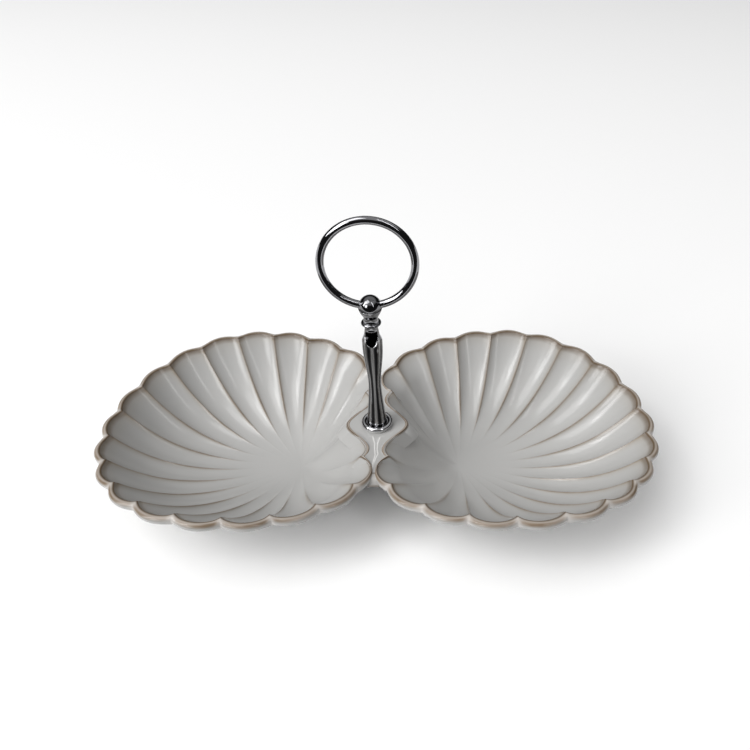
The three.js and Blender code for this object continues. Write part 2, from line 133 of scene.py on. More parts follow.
BELOW_LIP_REACH = 1.8
HINGE_STAIN = 0.8  # strength of the brown lines on the hinge side
STAIN_THINNING = 1.6

# Shares of the way up the inside between which each of its forms and lines sets in
RIBS_RISE = (0.3, 0.7)
CRESTS_RISE = (0.35, 0.6)
NODES_RISE = (0.8, 1)
CALM_SETS_IN = (0.99, 0.84)
STAIN_SETS_IN = (0.28, 0.6)
HINGE_STAIN_SETS_IN = (0.72, 0.97)
STAIN_THINS = (0.6, 0.95)

# Shares of the way up at which the rows of the outside and the inside lie
UNDER_SHARES = np.concatenate([np.linspace(0.06, 0.8, 16), np.linspace(0.84, 0.93, 5)])
INSIDE_SHARES = np.concatenate([np.linspace(0.99, 0.8, 16), np.linspace(0.77, 0.05, 34)])

# Attributes of the bowls that the glaze's material reads
SHADES = ("ridge", "edge", "roll", "knot", "halo")

# Each row is a place on the lip's section, from under the lip to its inner edge: the share of the way out,
# the drop below the rim, how brown the roll is, and how dark the band on it is
LIP_PROFILE = (
    (0.5, 4.1, 0, 0),
    (0.66, 3.75, 0, 0),
    (0.86, 3.2, 0, 0),
    (0.98, 2.3, 0, 0),
    (1, 1.4, 0, 0.05),
    (0.9, 0.5, 0.4, 0.9),
    (0.7, -0.1, 1, 1.4),
    (0.45, -0.38, 1, 0.1),
    (0.2, -0.3, 0.9, 0.3),
    (0.06, 0, 0.6, 0.55),
    (0, 0.35, 0.3, 0.5),
)
SADDLE_ROWS = 201
SADDLE_COLUMNS = 61
TONGUE = (32, 37)  # from the middle, where the saddle turns into the tongue between the lips
TONGUE_OVERLAP = 0.9
END_SLOPE = 5
END_DIP = 1.6
END_SINK = 0.6
END_ROUND = 2.4
END_ARCH = 0.9
END_EDGE = 0.2  # half height left at the very end
END_LINE = 0.6  # darkness of the line on it
LIPS_MEET = 37.6  # from the middle, with a dark line there
MEET_LINE = 0.8
MEET_LINE_WIDTH = 0.5
TONGUE_TINT = 0.2
TONGUE_TINTED = (37, 39.5)  # from the middle

# Two thin ripples at the front of the saddle, each with a painted highlight along it: places as distance
# from the middle, and x
RIPPLE_LINES = (
    ((9.8, -1.9), (15.1, -0.6), (19.5, -0.4), (24.0, 0.15), (29.5, -0.6), (36.0, -0.75)),
    ((10.2, 1.9), (15.1, 0.9), (19.5, 0.9), (23.4, 1.5), (26.5, 0.5), (31.0, -0.2)),
)
RIPPLE_WIDTH = 0.32
RIPPLE_RISE = 0.12
GLAZE_LINE = 0.8  # height above which a foot ring is glazed


# Curves


def smooth(low, high, value):
    """0 at low, 1 at high, with level ends."""
    t = np.clip((np.asarray(value, float) - low) / (high - low), 0, 1)
    return t * t * (3 - 2 * t)


def bell(value, width):
    """1 at zero, and less on both sides."""
    return np.exp(-((np.asarray(value, float) / width) ** 2))


def unit(v):
    return v / np.linalg.norm(v, axis=-1, keepdims=True)


def spline(points, steps):
    """Catmull-Rom through points of any width, steps samples a span."""
    p = np.asarray(points, float)
    p = np.vstack([2 * p[0] - p[1], p, 2 * p[-1] - p[-2]])
    out = []
    for i in range(1, len(p) - 2):
        before, here, there, after = p[i - 1 : i + 3]
        for t in np.arange(steps) / steps:
            bend = (2 * before - 5 * here + 4 * there - after) * t**2
            twist = (3 * here - before - 3 * there + after) * t**3
            out.append(0.5 * (2 * here + (there - before) * t + bend + twist))
    out.append(p[-2])
    return np.array(out)


def arc(centre, radius, start, end, steps):
    """Points round a centre, from one angle to another in degrees."""
    turn = np.radians(np.linspace(start, end, steps + 1))
    return [[centre[0] + radius * math.cos(t), centre[1] + radius * math.sin(t)] for t in turn]


# Meshes


def mesh_object(name, points, faces, material, attributes=None):
    """A smooth-shaded mesh from millimetre points, with its float attributes."""
    mesh = bpy.data.meshes.new(name)
    mesh.from_pydata((np.asarray(points) * MM).tolist(), [], [list(f) for f in faces])
    mesh.polygons.foreach_set("use_smooth", np.ones(len(mesh.polygons), bool))
    for key, values in (attributes or {}).items():
        data = mesh.attributes.new(key, "FLOAT", "POINT").data
        data.foreach_set("value", np.asarray(values, np.float32))
    mesh.materials.append(material)
    mesh.update()
    obj = bpy.data.objects.new(name, mesh)
    bpy.context.scene.collection.objects.link(obj)
    return obj


def carried(obj, node, body, sharp=50):
    """Let a piece ride on its body in place of its CAD node, with edges sharper than an angle kept."""
    obj.data.set_sharp_from_angle(angle=math.radians(sharp))
    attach(obj, body)
    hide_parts(node)


def ring_faces(rings, count, first=0):
    """Quads between successive closed rings of count points."""
    i = np.arange(count)
    j = (i + 1) % count
    out = []
    for r in range(rings - 1):
        a = first + r * count
        b = a + count
        out.append(np.stack([a + i, a + j, b + j, b + i], 1))
    return np.concatenate(out).tolist()


def fan_faces(centre, ring_start, count, flip=False):
    """Triangles between one point and a closed ring."""
    faces = [[centre, ring_start + (i + 1) % count, ring_start + i] for i in range(count)]
    return [f[::-1] for f in faces] if flip else faces


def sheet_faces(first, rows, columns, flip=False):
    """Quads of an open sheet of points."""
    row, column = np.meshgrid(np.arange(rows - 1), np.arange(columns - 1), indexing="ij")
    a = first + (row * columns + column).ravel()
    quads = np.stack([a, a + 1, a + columns + 1, a + columns], 1)
    return (quads[:, ::-1] if flip else quads).tolist()


def lathe(profile, count):
    """Points and faces of a turned body; the profile runs up its outside, ends on the axis or closes."""
    profile = np.asarray(profile, float)
    angle = np.arange(count) / count * 2 * math.pi
    closed = np.allclose(profile[0], profile[-1])
    points, faces, rows = [], [], []
    for radius, height in profile[:-1] if closed else profile:
        if radius < 1e-6:
            rows.append((len(points), 1))
            points.append([0, 0, height])
        else:
            rows.append((len(points), count))
            ring = [radius * np.cos(angle), radius * np.sin(angle), np.full(count, height)]
            points += np.stack(ring, 1).tolist()
    pairs = list(zip(rows, rows[1:])) + ([(rows[-1], rows[0])] if closed else [])
    for (a, n), (b, m) in pairs:
        for i in range(count):
            j = (i + 1) % count
            if n == 1:
                faces.append([a, b + j, b + i])
            elif m == 1:
                faces.append([a + i, a + j, b])
            else:
                faces.append([a + i, a + j, b + j, b + i])
    return np.array(points), faces


def cut_away(points, faces, tool_points, tool_faces):
    """Points and faces of one closed body less another."""
    made = []
    for name, pts, fcs in (("body", points, faces), ("tool", tool_points, tool_faces)):
        mesh = bpy.data.meshes.new(name)
        mesh.from_pydata(np.asarray(pts, float).tolist(), [], [list(f) for f in fcs])
        obj = bpy.data.objects.new(name, mesh)
        bpy.context.scene.collection.objects.link(obj)
        made.append(obj)
    body, tool = made
    modifier = body.modifiers.new("cut", "BOOLEAN")
    modifier.operation = "DIFFERENCE"
    modifier.object = tool
    modifier.solver = "EXACT"
    shaped = body.evaluated_get(bpy.context.evaluated_depsgraph_get()).to_mesh()
    out_points = np.array([v.co[:] for v in shaped.vertices])
    out_faces = [list(f.vertices) for f in shaped.polygons]
    for obj in made:
        mesh = obj.data
        bpy.data.objects.remove(obj)
        bpy.data.meshes.remove(mesh)
    return out_points, out_faces


# Rim of one shell: places round it, each with the edges that carry the lip and the wall


def cusp(angle):
    """A cusp of the rim: its place, the way outwards, and how much of the lip's width it takes."""
    radius = SHELL_RADIUS + SHOULDER_RISE * float(smooth(SHOULDER_START, 1, abs(angle) / SHOULDER_ANGLE))
    out = np.array([math.cos(angle), math.sin(angle)])
    return MIDDLE + out * radius, out, 1.0


def hinge_cusp(side):
    """The same for the cusp between the last lobe and the plateau."""
    return np.array([HINGE_CUSP_X, side * HINGE_CUSP_Y]), np.array([-1.0, 0.0]), HINGE_LIP_SHARE


def lobe(a, b, share, shift, bulge):
    """Places on the arc between two cusps, which are shifted outwards."""
    start = a[0] + a[1] * shift * a[2]
    end = b[0] + b[1] * shift * b[2]
    chord = end - start
    half = np.linalg.norm(chord) / 2
    bow = bulge(a[2] + (b[2] - a[2]) * share)
    radius = (half * half + bow * bow) / (2 * bow)
    turn = np.arcsin(np.minimum(1, half / radius)) * (2 * share - 1)
    along = radius * np.sin(turn) / half / 2 + 0.5
    rise = radius * np.cos(turn) - (radius - bow)
    normal = np.array([chord[1], -chord[0]]) / np.linalg.norm(chord)
    return start + (end - start) * along[:, None] + normal * rise[:, None]


def plateau_edge(side, share, shift):
    """Places on the curve from a hinge cusp to the plateau's corner."""
    xs = np.array([HINGE_CUSP_X, HINGE_PULL_X, PLATEAU_CORNER_X, PLATEAU_CORNER_X])
    ys = np.array([HINGE_CUSP_Y, HINGE_CUSP_Y * HINGE_PULL_Y_SHARE, CORNER_ROUND, 0])
    u = 1 - share
    w = np.stack([u**3, 3 * u * u * share, 3 * u * share**2, share**3], 1)
    return np.stack([w @ xs - shift * HINGE_LIP_SHARE, side * (w @ ys)], 1)


def rim_edges():
    """The rim's inner edge, the lip's outer edge and the wall's, with the share of rib, gap and plateau."""
    cusps = [hinge_cusp(-1)]
    for i in range(2 * CUSP_PAIRS):
        turn = (i + 0.5 - CUSP_PAIRS) * LOBE_PITCH
        cusps.append(cusp(turn - LOBE_SKEW * math.sin(2 * math.pi * turn / SHOULDER_ANGLE)))
    cusps.append(hinge_cusp(1))
    edges = {key: [] for key in ("inner", "lip", "back", "rib", "gap", "plateau")}
    even = np.arange(LOBE_STEPS) / LOBE_STEPS
    crowded = 0.5 - 0.5 * np.cos(math.pi * even)
    share = even * LOBE_STEP_MIX[0] + crowded * LOBE_STEP_MIX[1]
    flat = np.zeros(LOBE_STEPS)
    for k, (a, b) in enumerate(zip(cusps, cusps[1:])):
        beside = k in (0, len(cusps) - 2)
        bulge = HINGE_LOBE_BULGE if beside else LOBE_BULGE
        tuck = HINGE_LIP_TUCK * np.sin(math.pi * share) ** 0.5 if beside else 0
        thinner = LIP_WIDTH - LIP_CUSP_WIDTH
        edges["inner"].append(lobe(a, b, share, 0, lambda w: flat + bulge))
        edges["lip"].append(lobe(a, b, share, LIP_CUSP_WIDTH, lambda w: bulge + thinner * w - tuck))
        edges["back"].append(lobe(a, b, share, WALL_CUSP_FILL, lambda w: bulge - WALL_CUSP_FILL * w))
        edges["rib"].append((2 * share - 1) ** 2)
        edges["gap"].append(np.minimum(share, 1 - share) * np.linalg.norm(b[0] - a[0]))
        edges["plateau"].append(flat)
    for side in (1, -1):
        run = np.arange(HINGE_STEPS) / HINGE_STEPS
        s = run if side > 0 else 1 - run
        r = (1 - s) ** 4
        width = LIP_WIDTH + (LIP_CUSP_WIDTH - LIP_WIDTH) * r
        edges["inner"].append(plateau_edge(side, s, 0 * s))
        edges["lip"].append(plateau_edge(side, s, width))
        edges["back"].append(plateau_edge(side, s, WALL_CUSP_FILL * r))
        edges["rib"].append(r)
        edges["gap"].append(s * HINGE_EDGE_LENGTH)
        edges["plateau"].append(np.ones(HINGE_STEPS))
    return {key: np.concatenate(parts) for key, parts in edges.items()}


def rim_places():
    """The rim's edges, with the height, wall steepness and glaze lines of each place."""
    spot = rim_edges()
    about = np.arctan2(spot["inner"][:, 1], spot["inner"][:, 0] - SHELL_X)
    angle = np.abs(about)
    swell = np.sin(angle) ** 2 * (1 + RIM_LEAN * np.cos(angle))
    sink = smooth(SHOULDER_ANGLE, math.pi, angle)
    spot["about"] = about
    spot["rim"] = RIM_HEIGHT + RIM_LIFT * swell - RIM_SINK * sink + LOBE_RISE * (1 - spot["rib"])
    side = TIP_POWER + (SIDE_POWER - TIP_POWER) * smooth(0, math.pi / 2, angle)
    spot["power"] = side + (HINGE_POWER - side) * smooth(math.pi / 2, HINGE_ANGLE, angle)
    spot["reach"] = np.linalg.norm(spot["inner"] - FAN, axis=1)
    spot["hinge"] = smooth(*HINGE_SIDE, angle)
    spot["crest"] = bell(spot["gap"], RIB_LINE)
    spot["halo"] = bell(spot["gap"], HALO_WIDTH)
    spot["node"] = spot["halo"] * (1 - PLATEAU_FADE * spot["plateau"])
    return spot


# Bowl


def wall_point(spot, share, sunk, edge):
    """Places a share of the way from the fan's point up to an edge, sunk by a share of the wall."""
    depth = sunk * (WALL + (UPPER_WALL - WALL) * float(smooth(*WALL_THINS, share)))
    rise = spot["rim"] - BOWL_FLOOR
    slope = np.arctan(spot["power"] * rise * share ** (spot["power"] - 1) / spot["reach"])
    half = np.linalg.norm(edge - FAN, axis=1, keepdims=True) / 2
    square = edge + unit(MIDDLE - edge) * half
    pull = (edge + FAN) / 2 * (1 - RIB_BOW) + square * RIB_BOW
    at = (1 - share) ** 2 * FAN + 2 * share * (1 - share) * pull + share**2 * edge
    along = unit(2 * (1 - share) * (pull - FAN) + 2 * share * (edge - pull))
    spread = at + along * (depth * np.sin(slope))[:, None]
    height = BOWL_FLOOR + rise * share ** spot["power"] - depth * np.cos(slope)
    return np.column_stack([spread, height])


def blur_round(points, reach):
    """Each point moved to the bell-weighted mean of its neighbours round the ring."""
    steps = np.arange(-3 * reach, 3 * reach + 1)
    weight = np.exp(-0.5 * (steps / reach) ** 2)
    return sum(w * np.roll(points, -k, axis=0) for k, w in zip(steps, weight / weight.sum()))


class Rows:
    """Closed rings of points, with the glaze's shades at each point."""

    def __init__(self, count):
        self.count = count
        self.points = []
        self.shades = {name: [] for name in SHADES}

    def add(self, points, **shades):
        self.points.append(points)
        for name in SHADES:
            self.shades[name].append(np.zeros(self.count) + shades.get(name, 0))


def add_under_rows(rows, spot):
    """The bowl's outside, from the foot's middle up to the lip."""
    for share in UNDER_SHARES:
        tint = UNDER_TINT * float(smooth(*UNDER_TINTED, share))
        rows.add(wall_point(spot, share, 1, spot["back"]), roll=tint)


def add_lip_rows(rows, spot):
    """The round lip, whose brown bands break up along it, with a pale swelling at each cusp."""
    node = spot["node"]
    fast, slow = (np.sin(rate * spot["about"] + start) for rate, start in BAND_WAVES)
    broken = BAND_STRENGTH + BAND_SWING * fast * slow
    outwards = unit(spot["lip"] - spot["inner"] + 1e-9)
    for across, drop, brown, band in spline(LIP_PROFILE, 4):
        spread = spot["inner"] + (spot["lip"] - spot["inner"]) * across
        spread = spread + outwards * (NODE_SWELL * node * across)[:, None]
        top = max(0.0, 1 - max(0.0, drop) / LIP_DEPTH)
        height = spot["rim"] + NODE_RISE * spot["rib"] ** 3 * top + NODE_SWELL * node * top - drop
        level = np.minimum(height, spot["rim"] - max(drop, -0.1))
        height = np.where(spot["plateau"] > 0, level, height)
        rows.add(
            np.column_stack([spread, height]),
            ridge=max(0.0, band) * broken * (1 - BAND_NODE_FADE * node),
            edge=bell(across - LIP_LINE, LIP_LINE_WIDTH) if drop < 1 else 0,
            roll=max(0.0, brown),
            knot=node,
        )


def add_inside_rows(rows, spot):
    """The hollow flutes and the ribs between them, which fade on the hinge side."""
    hinge, node = spot["hinge"], spot["node"]
    for share in INSIDE_SHARES:
        points = wall_point(spot, share, 0, spot["inner"])
        calm = (hinge * smooth(*CALM_SETS_IN, share))[:, None]
        points = points * (1 - calm) + blur_round(points, HINGE_BLUR) * calm
        lift = RIB_HEIGHT * (spot["rib"] - 1 / 3) * smooth(*RIBS_RISE, share)
        knob = smooth(*NODES_RISE, share)
        points[:, 2] += lift * (1 - knob) + (NODE_RISE * spot["rib"] ** 3 + INNER_NODE_SWELL * node) * knob
        points[:, 2] += CREST_RISE * spot["crest"] * smooth(*CRESTS_RISE, share) * (1 - knob)
        at_hinge = HINGE_STAIN * smooth(*HINGE_STAIN_SETS_IN, share) * hinge
        fade = smooth(*STAIN_SETS_IN, share) * (1 - hinge) + at_hinge
        thinning = 1 + STAIN_THINNING * smooth(*STAIN_THINS, share)
        drop = (1 - share) * INSIDE_LENGTH
        rows.add(
            points,
            ridge=(RIB_STAIN * spot["crest"]) ** thinning * fade,
            edge=bell(drop, BELOW_LIP_LINE),
            halo=spot["halo"] * fade + BELOW_LIP_TINT * bell(drop, BELOW_LIP_REACH),
        )


def bowl(spot):
    """Points, faces and shades of the right bowl: underside, wall, lip, inside."""
    rows = Rows(len(spot["rib"]))
    add_under_rows(rows, spot)
    add_lip_rows(rows, spot)
    add_inside_rows(rows, spot)
    points = np.vstack([[[*FAN, BOWL_FLOOR - WALL]], *rows.points, [[*FAN, BOWL_FLOOR]]])
    last = len(points) - 1
    faces = fan_faces(0, 1, rows.count)
    faces += ring_faces(len(rows.points), rows.count, 1)
    faces += fan_faces(last, last - rows.count, rows.count, True)
    return points, faces, {name: np.concatenate([[0], *rings, [0]]) for name, rings in rows.shades.items()}


# Saddle and foot rings


def ripple_and_highlight(x, y):
    """How much a place on the saddle lies on one of the two thin ripples at its front, which are raised and
    carry a painted highlight.
    """
    ahead = -np.asarray(y, float)
    out = np.zeros(np.broadcast(x, y).shape)
    for line in RIPPLE_LINES:
        ys, xs = np.array(line).T
        middle = np.interp(ahead, ys, xs)
        ends = smooth(ys[0] - 1, ys[0] + 1, ahead) * smooth(ys[-1] + 1, ys[-1] - 3, ahead)
        out = np.maximum(out, bell(x - middle, RIPPLE_WIDTH) * ends)
    return out


def saddle_shades(points):
    """The painted highlight along the ripples, the tongue's tint, and dark lines where the lips meet and at
    the very end.
    """
    far = np.abs(points[:, 1])
    on_top = smooth(SADDLE_TOP - 6, SADDLE_TOP - 3, points[:, 2])
    upper = smooth(SADDLE_TOP - 1.5, SADDLE_TOP - 0.5, points[:, 2])
    rim = smooth(SADDLE_HALF_LENGTH - 0.2, SADDLE_HALF_LENGTH, far)
    return {
        # The run attribute is the painted highlight along the ripples, on the saddle's top only
        "run": ripple_and_highlight(points[:, 0], points[:, 1]) * upper,
        "roll": TONGUE_TINT * smooth(*TONGUE_TINTED, far) * on_top,
        "edge": MEET_LINE * bell(far - LIPS_MEET, MEET_LINE_WIDTH) * on_top + END_LINE * rim,
    }


def saddle_levels(far):
    """Heights of the saddle's top and underside at distances from its middle, with rounded ends."""
    slope_start = SADDLE_HALF_LENGTH - END_SLOPE
    run = smooth(PLATEAU_HALF_LENGTH, slope_start, far)
    dip = END_DIP * smooth(slope_start, SADDLE_HALF_LENGTH, far) ** 2
    top = SADDLE_TOP + (SADDLE_RISE - END_SINK) * run - dip
    low_run = smooth(PLATEAU_HALF_LENGTH, SADDLE_HALF_LENGTH, far)
    thinner = SADDLE_THICKNESS + SADDLE_RISE - SADDLE_END_THICKNESS
    low = SADDLE_TOP - SADDLE_THICKNESS + thinner * low_run
    past = np.maximum(far - (SADDLE_HALF_LENGTH - END_ROUND), 0)
    turned = END_ROUND - np.sqrt(np.maximum(END_ROUND**2 - past**2, 0))
    turned = np.minimum(turned, (top - low) / 2 - END_EDGE)
    return top - turned, low + turned


def saddle(spot):
    """The bridge between the bowls, buried in both walls at its sides, with a hole for the screw."""
    inner, lip = spot["inner"], spot["lip"]
    keep = np.where((np.abs(inner[:, 1]) < SADDLE_HALF_LENGTH + 2) & (inner[:, 0] < 20))[0]
    keep = keep[np.argsort(inner[keep, 1])]
    y = np.linspace(-SADDLE_HALF_LENGTH, SADDLE_HALF_LENGTH, SADDLE_ROWS)
    far = np.abs(y)
    inner_x = np.interp(y, inner[keep, 1], inner[keep, 0])
    lip_x = np.interp(y, lip[keep, 1], lip[keep, 0])
    rim = np.interp(y, inner[keep, 1], spot["rim"][keep])
    tongue = smooth(*TONGUE, far)
    between = np.maximum(lip_x, 0.2) + TONGUE_OVERLAP
    wide = np.maximum(inner_x - 0.22, 0.8) * (1 - tongue) + between * tongue
    top, low = saddle_levels(far)
    across = np.linspace(-1, 1, SADDLE_COLUMNS)
    side = smooth(0.6, 1, np.abs(across))
    one = np.ones(SADDLE_COLUMNS)

    # The top meets the rims at its sides, and the underside reaches further into the walls
    upper, under = [], []
    for k in range(SADDLE_ROWS):
        edge = (rim[k] + 0.12) * (1 - tongue[k]) + (top[k] - 0.3) * tongue[k]
        joins = max(smooth(4, 11, far[k]), tongue[k])
        level = top[k] + (edge - top[k]) * side * joins
        level = level + RIPPLE_RISE * ripple_and_highlight(across * wide[k], y[k])
        upper.append(np.column_stack([across * wide[k], y[k] * one, level]))
        reach = wide[k] + (top[k] - low[k]) * 0.75 * (1 - tongue[k]) + 0.2 * tongue[k]
        arch = END_ARCH * tongue[k] * (1 - across**2)
        under.append(np.column_stack([across * reach, y[k] * one, np.minimum(low[k] + arch, top[k] - 0.3)]))

    # Both sheets, the strips along their sides, and the strips across their ends
    below = SADDLE_ROWS * SADDLE_COLUMNS
    faces = sheet_faces(0, SADDLE_ROWS, SADDLE_COLUMNS)
    faces += sheet_faces(below, SADDLE_ROWS, SADDLE_COLUMNS, True)
    for a in range(0, below - SADDLE_COLUMNS, SADDLE_COLUMNS):
        b = a + SADDLE_COLUMNS
        faces.append([a, b, below + b, below + a])
        faces.append([b - 1, below + b - 1, below + b + SADDLE_COLUMNS - 1, b + SADDLE_COLUMNS - 1])
    end = below - SADDLE_COLUMNS
    for i in range(SADDLE_COLUMNS - 1):
        faces.append([i, below + i, below + i + 1, i + 1])
        faces.append([end + i, end + i + 1, below + end + i + 1, below + end + i])
    hole, hole_faces = lathe([[0, 20], [SCREW_HOLE_RADIUS, 20], [SCREW_HOLE_RADIUS, 50], [0, 50]], 64)
    return cut_away(np.vstack(upper + under), faces, hole, hole_faces)


def foot_ring(spot):
    """The right bowl's foot ring, which runs up into the bowl's wall all round."""
    shares = np.linspace(0.02, 0.95, 60)
    inner, outer = FOOT_RADIUS - FOOT_WIDTH, FOOT_RADIUS
    profile = spline([
        [inner, 2], [inner + 0.25, 0.6], [inner + 0.9, 0.02], [(inner + outer) / 2, 0],
        [outer - 0.9, 0.02], [outer - 0.25, 0.6], [outer, 2],
    ], 4)
    count = 160
    angle = np.arange(count) / count * 2 * math.pi
    around = np.column_stack([np.cos(angle), np.sin(angle)])

    def height(radius, sunk):
        """The bowl's underside, or a depth in its wall, above a circle round the foot's middle."""
        field = np.vstack([wall_point(spot, s, sunk, spot["inner"]) for s in shares])
        out = []
        for at in around * radius + [FOOT_OFFSET_X, 0]:
            far = ((field[:, :2] - at) ** 2).sum(1)
            near = np.argsort(far)[:6]
            weight = 1 / (far[near] + 0.02)
            out.append((field[near, 2] * weight).sum() / weight.sum())
        return np.array(out)

    rows = [
        (inner - 0.55, height(inner, 0.5)),
        (inner - 0.5, height(inner - 0.5, 1) - 0.05),
        (inner - 0.12, height(inner, 1) - 0.6),
    ]
    rows += [(radius, np.full(count, level)) for radius, level in profile]
    rows += [
        (outer + 0.12, height(outer, 1) - 0.6),
        (outer + 0.5, height(outer + 0.5, 1) - 0.05),
        (outer + 0.55, height(outer, 0.5)),
    ]
    points = [np.column_stack([around * radius + [FOOT_OFFSET_X, 0], level]) for radius, level in rows]
    return np.vstack(points), ring_faces(len(rows), count)


def build_dish(glaze):
    """Both bowls, the saddle and the foot rings as one glazed piece, inside the CAD's box."""
    spot = rim_places()
    points, faces, shades = bowl(spot)
    bridge, bridge_faces = saddle(spot)
    foot, foot_faces = foot_ring(spot)
    foot_shades = {"bare": (foot[:, 2] < GLAZE_LINE).astype(float)}
    mirror = [-1, 1, 1]
    blocks = [
        (points, faces, shades),
        (points * mirror, [f[::-1] for f in faces], shades),
        (bridge, bridge_faces, saddle_shades(bridge)),
        (foot, foot_faces, foot_shades),
        (foot * mirror, [f[::-1] for f in foot_faces], foot_shades),
    ]
    all_points = np.vstack([block[0] for block in blocks])
    all_faces = []
    # The run attribute carries the painted highlight along the saddle's ripples
    attributes = {name: [] for name in (*SHADES, "run", "bare")}
    start = 0
    for block_points, block_faces, block_shades in blocks:
        all_faces += [[v + start for v in face] for face in block_faces]
        for name, values in attributes.items():
            values.append(block_shades.get(name, np.zeros(len(block_points))))
        start += len(block_points)
    all_points[:, 2] = np.maximum(all_points[:, 2], 0)
    for axis in (0, 1):
        reach = np.abs(all_points[:, axis]).max()
        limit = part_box("dish")[1][axis] / MM
        if reach > limit:
            all_points[:, axis] *= limit / reach
    attributes = {name: np.concatenate(values) for name, values in attributes.items()}
    obj = mesh_object("dish_glazed", all_points, all_faces, glaze, attributes)
    carried(obj, "dish", "server", 60)


# Handle, in millimetres: heights and radii as in the CAD, and finer flutes, wire, cup, thread and recess

WASHER_HOLE_RADIUS = 2.8
# Base, thickness, radius, and softness of the corners
SEAT_WASHER = (37.35, 0.6, 7.4, 0.2)
UNDER_WASHER = (28.25, 1.5, 7.4, 0.35)
STEEL_WASHER = (27.2, 1.0, 7.5, 0.18)
COLLAR_BASE = 38.0
COLLAR_RADIUS = 8.25
COLLAR_HEIGHT = 2.5
PLATE_TOP = 39.0
POST_BASE = 39.05
POST_TOP = 98.2
FLARE_RADIUS = 5.45
WAIST_RADIUS = 3.2
WAIST_HEIGHT = 64.5
BELLY_RADIUS = 4.95
BELLY_HEIGHT = 88.0
NECK_START = 90.5
NECK_RADIUS = 3.4
FLUTES = 8
FLUTE_STEPS = 48
FOOT_FLUTE_DEPTH = 0.2
FLUTES_DEEPEN_BY = 0.45
FLUTES_DEEPEN_OVER = 7
NECK_FLUTE_LOSS = 0.6  # share of the depth
SCREW_BORE_RADIUS = 2.58
SCREW_BORE_TOP = 49.15
SPIGOT_BASE = 90.2
SPIGOT_RADIUS = 1.7
BEAD_BASE = 100.95
BEAD_TOP = 103.45
BEAD_RADIUS = 4.85
BEAD_FACE_RADIUS = 3.6
CUP_TOP = 110.4
CUP_RADIUS = 5.62
CUP_NECK_RADIUS = 3.4
CUP_HOLLOW_RADIUS = 5.5
CUP_WALL = 0.12
BALL_Z = 111.35
BALL_RADIUS = 5.4
SHANK_BASE = 104.85
SHANK_RADIUS = 1.5
RING_Z = 132.95
RING_RADIUS = 21.3
WIRE_RADIUS = 1.87
WIRE_FLATNESS = 0.95
SCREW_SEAT = 27.15
SCREW_TIP = 47.15
SCREW_RADIUS = 2.5
SCREW_PITCH = 0.8
THREAD_DEPTH = 0.42
THREAD_START = 27.75
TIP_LENGTH = 0.9
TIP_TAPER = 0.55
HEAD_LOW = 24.05
HEAD_RADIUS = 4.6
RECESS_HALF_SIZE = (2.3, 0.5)
RECESS_DEPTH = 1.9

# Half width of the petal on the post, in radians, at heights up its neck
PETAL_HEIGHTS = (90.75, 90.95, 91.3, 92.0, 92.9, 94.1, 95.55, 98.2)
PETAL_BORDERS = (0.0, 0.12, 0.25, 0.396, 0.515, 0.698, 0.9, 1.0)
PETAL_FLATNESS = 0.6
ARM_RISE = 0.1  # of the forked arris round a petal, which lies an angle off its border
ARM_OFFSET = 0.08
ARM_WIDTH = 0.065


def turned_piece(name, node, body, material, profile, count=96, shade=None):
    """A lathe-made piece; shade gives the painted shade of its points, darker metal standing in for dark
    reflections.
    """
    points, faces = lathe(profile, count)
    obj = mesh_object(name, points, faces, material, {"painted_shade": shade(points)} if shade else None)
    carried(obj, node, body)


def build_collar(material):
    """A plate with a rolled rim, which holds the post's foot."""
    bead = COLLAR_HEIGHT / 2
    middle = COLLAR_RADIUS - bead
    hole = WASHER_HOLE_RADIUS
    profile = [[hole, PLATE_TOP], [hole, COLLAR_BASE], [middle - 0.4, COLLAR_BASE]]
    profile += arc([middle, COLLAR_BASE + bead], bead, -90, 180, 40)
    profile += [[middle - bead - 0.05, PLATE_TOP + 0.1], [middle - bead - 0.35, PLATE_TOP], profile[0]]
    turned_piece("collar_rolled", "base_collar", "server", material, profile, 128)


def post_radius(z):
    """Radius over the arrises: a flared foot, a waist, a belly and a neck."""
    flare = np.clip((WAIST_HEIGHT - z) / (WAIST_HEIGHT - POST_BASE), 0, 1)
    low = WAIST_RADIUS + (FLARE_RADIUS - WAIST_RADIUS) * flare**1.4
    mid = WAIST_RADIUS + (BELLY_RADIUS - WAIST_RADIUS) * smooth(WAIST_HEIGHT, BELLY_HEIGHT, z)
    top = BELLY_RADIUS + (NECK_RADIUS - BELLY_RADIUS) * smooth(NECK_START, POST_TOP, z)
    return float(np.where(z < WAIST_HEIGHT, low, np.where(z < BELLY_HEIGHT, mid, top)))


